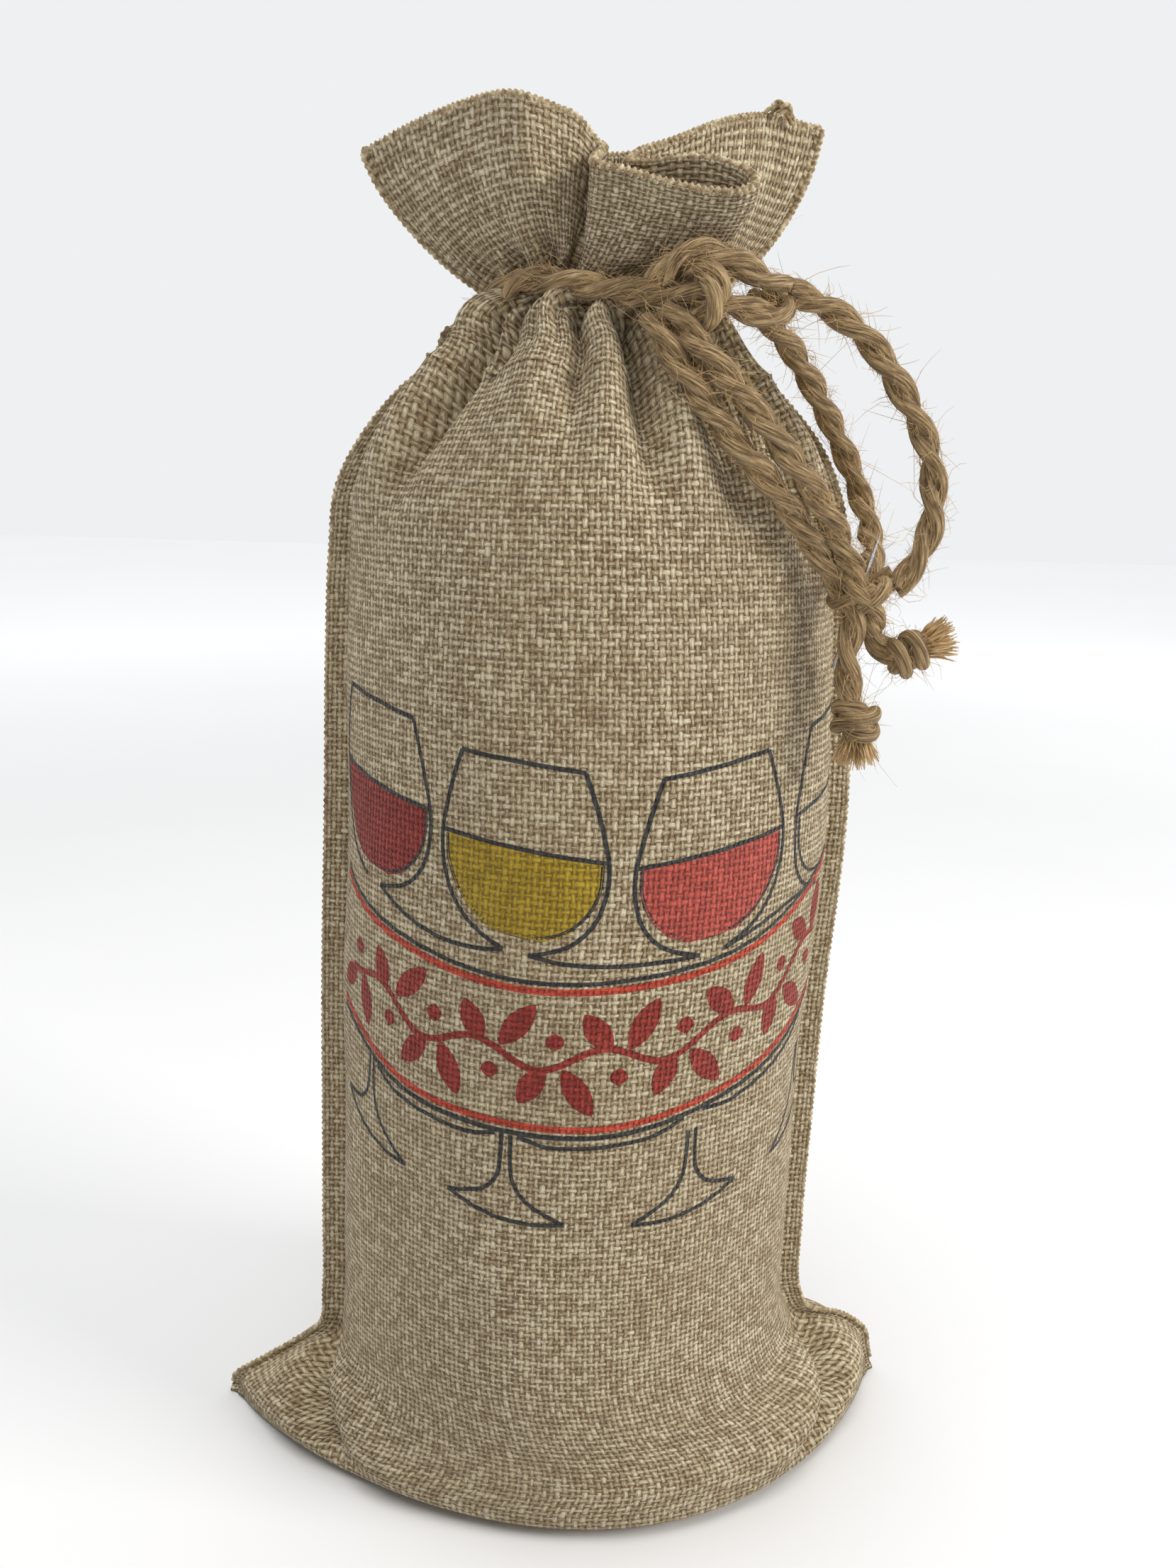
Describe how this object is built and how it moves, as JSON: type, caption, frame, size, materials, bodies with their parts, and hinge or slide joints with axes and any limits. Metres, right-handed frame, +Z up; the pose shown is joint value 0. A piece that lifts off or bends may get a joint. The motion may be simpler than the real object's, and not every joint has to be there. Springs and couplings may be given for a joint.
{
  "type": "drawstring wine bottle gift bag",
  "caption": "Tall cloth gift bag for one bottle, gathered at the neck by a jute drawstring with a bow loop, two knotted tails and a steel pin.",
  "frame": {"origin": "on the floor under the middle of the bag, half way between its front and back walls", "axes": "+Z up along the bag to its mouth, -Y out of the printed front, +X towards the side with the bow"},
  "size_m": [0.155, 0.087, 0.2815],
  "materials": {
    "burlap_cloth": "matte slubby plain weave",
    "jute_rope": "hairy two-ply jute",
    "sewing_thread": "matte spun thread",
    "pin_steel": "bright drawn steel"
  },
  "bodies": {
    "bag": {"front_panel": "burlap_cloth", "back_panel": "burlap_cloth", "left_seam_thread": "sewing_thread", "right_seam_thread": "sewing_thread", "bottom_seam_thread": "sewing_thread", "hem_stitching": "sewing_thread", "seam_thread_tail": "sewing_thread", "drawstring_neck_turn": "jute_rope", "tail_a_strand": "jute_rope", "tail_b_strand": "jute_rope", "loop_return_strand": "jute_rope", "drawstring_knot": "jute_rope", "strand_crossing": "jute_rope"},
    "pin": {"straight_pin": "pin_steel"},
    "bow_loop": {"bow_loop": "jute_rope"},
    "tail_a": {"tail_a_end": "jute_rope", "tail_a_knot": "jute_rope", "tail_a_fray": "jute_rope"},
    "tail_b": {"tail_b_end": "jute_rope", "tail_b_knot": "jute_rope", "tail_b_fray": "jute_rope"}
  },
  "joints": [
    {"name": "pin_pull", "type": "slide", "parent": "bag", "child": "pin", "axis": [0.1665, -0.3527, 0.9208], "range_m": [0, 0.03]},
    {"name": "bow_loop_swing", "type": "hinge", "parent": "bag", "child": "bow_loop", "pos_m": [0.0474, -0.026, 0.1932], "axis": [-0.2958, 0.0337, 0.9547], "range_deg": [-38, 18], "stiffness_Nm_per_rad": 0.004},
    {"name": "tail_a_swing", "type": "hinge", "parent": "bag", "child": "tail_a", "pos_m": [0.0474, -0.026, 0.1932], "axis": [0, -1, 0], "range_deg": [-8, 40], "stiffness_Nm_per_rad": 0.002},
    {"name": "tail_b_swing", "type": "hinge", "parent": "bag", "child": "tail_b", "pos_m": [0.0474, -0.0287, 0.1915], "axis": [-1, 0, 0], "range_deg": [-2, 50]}
  ]
}
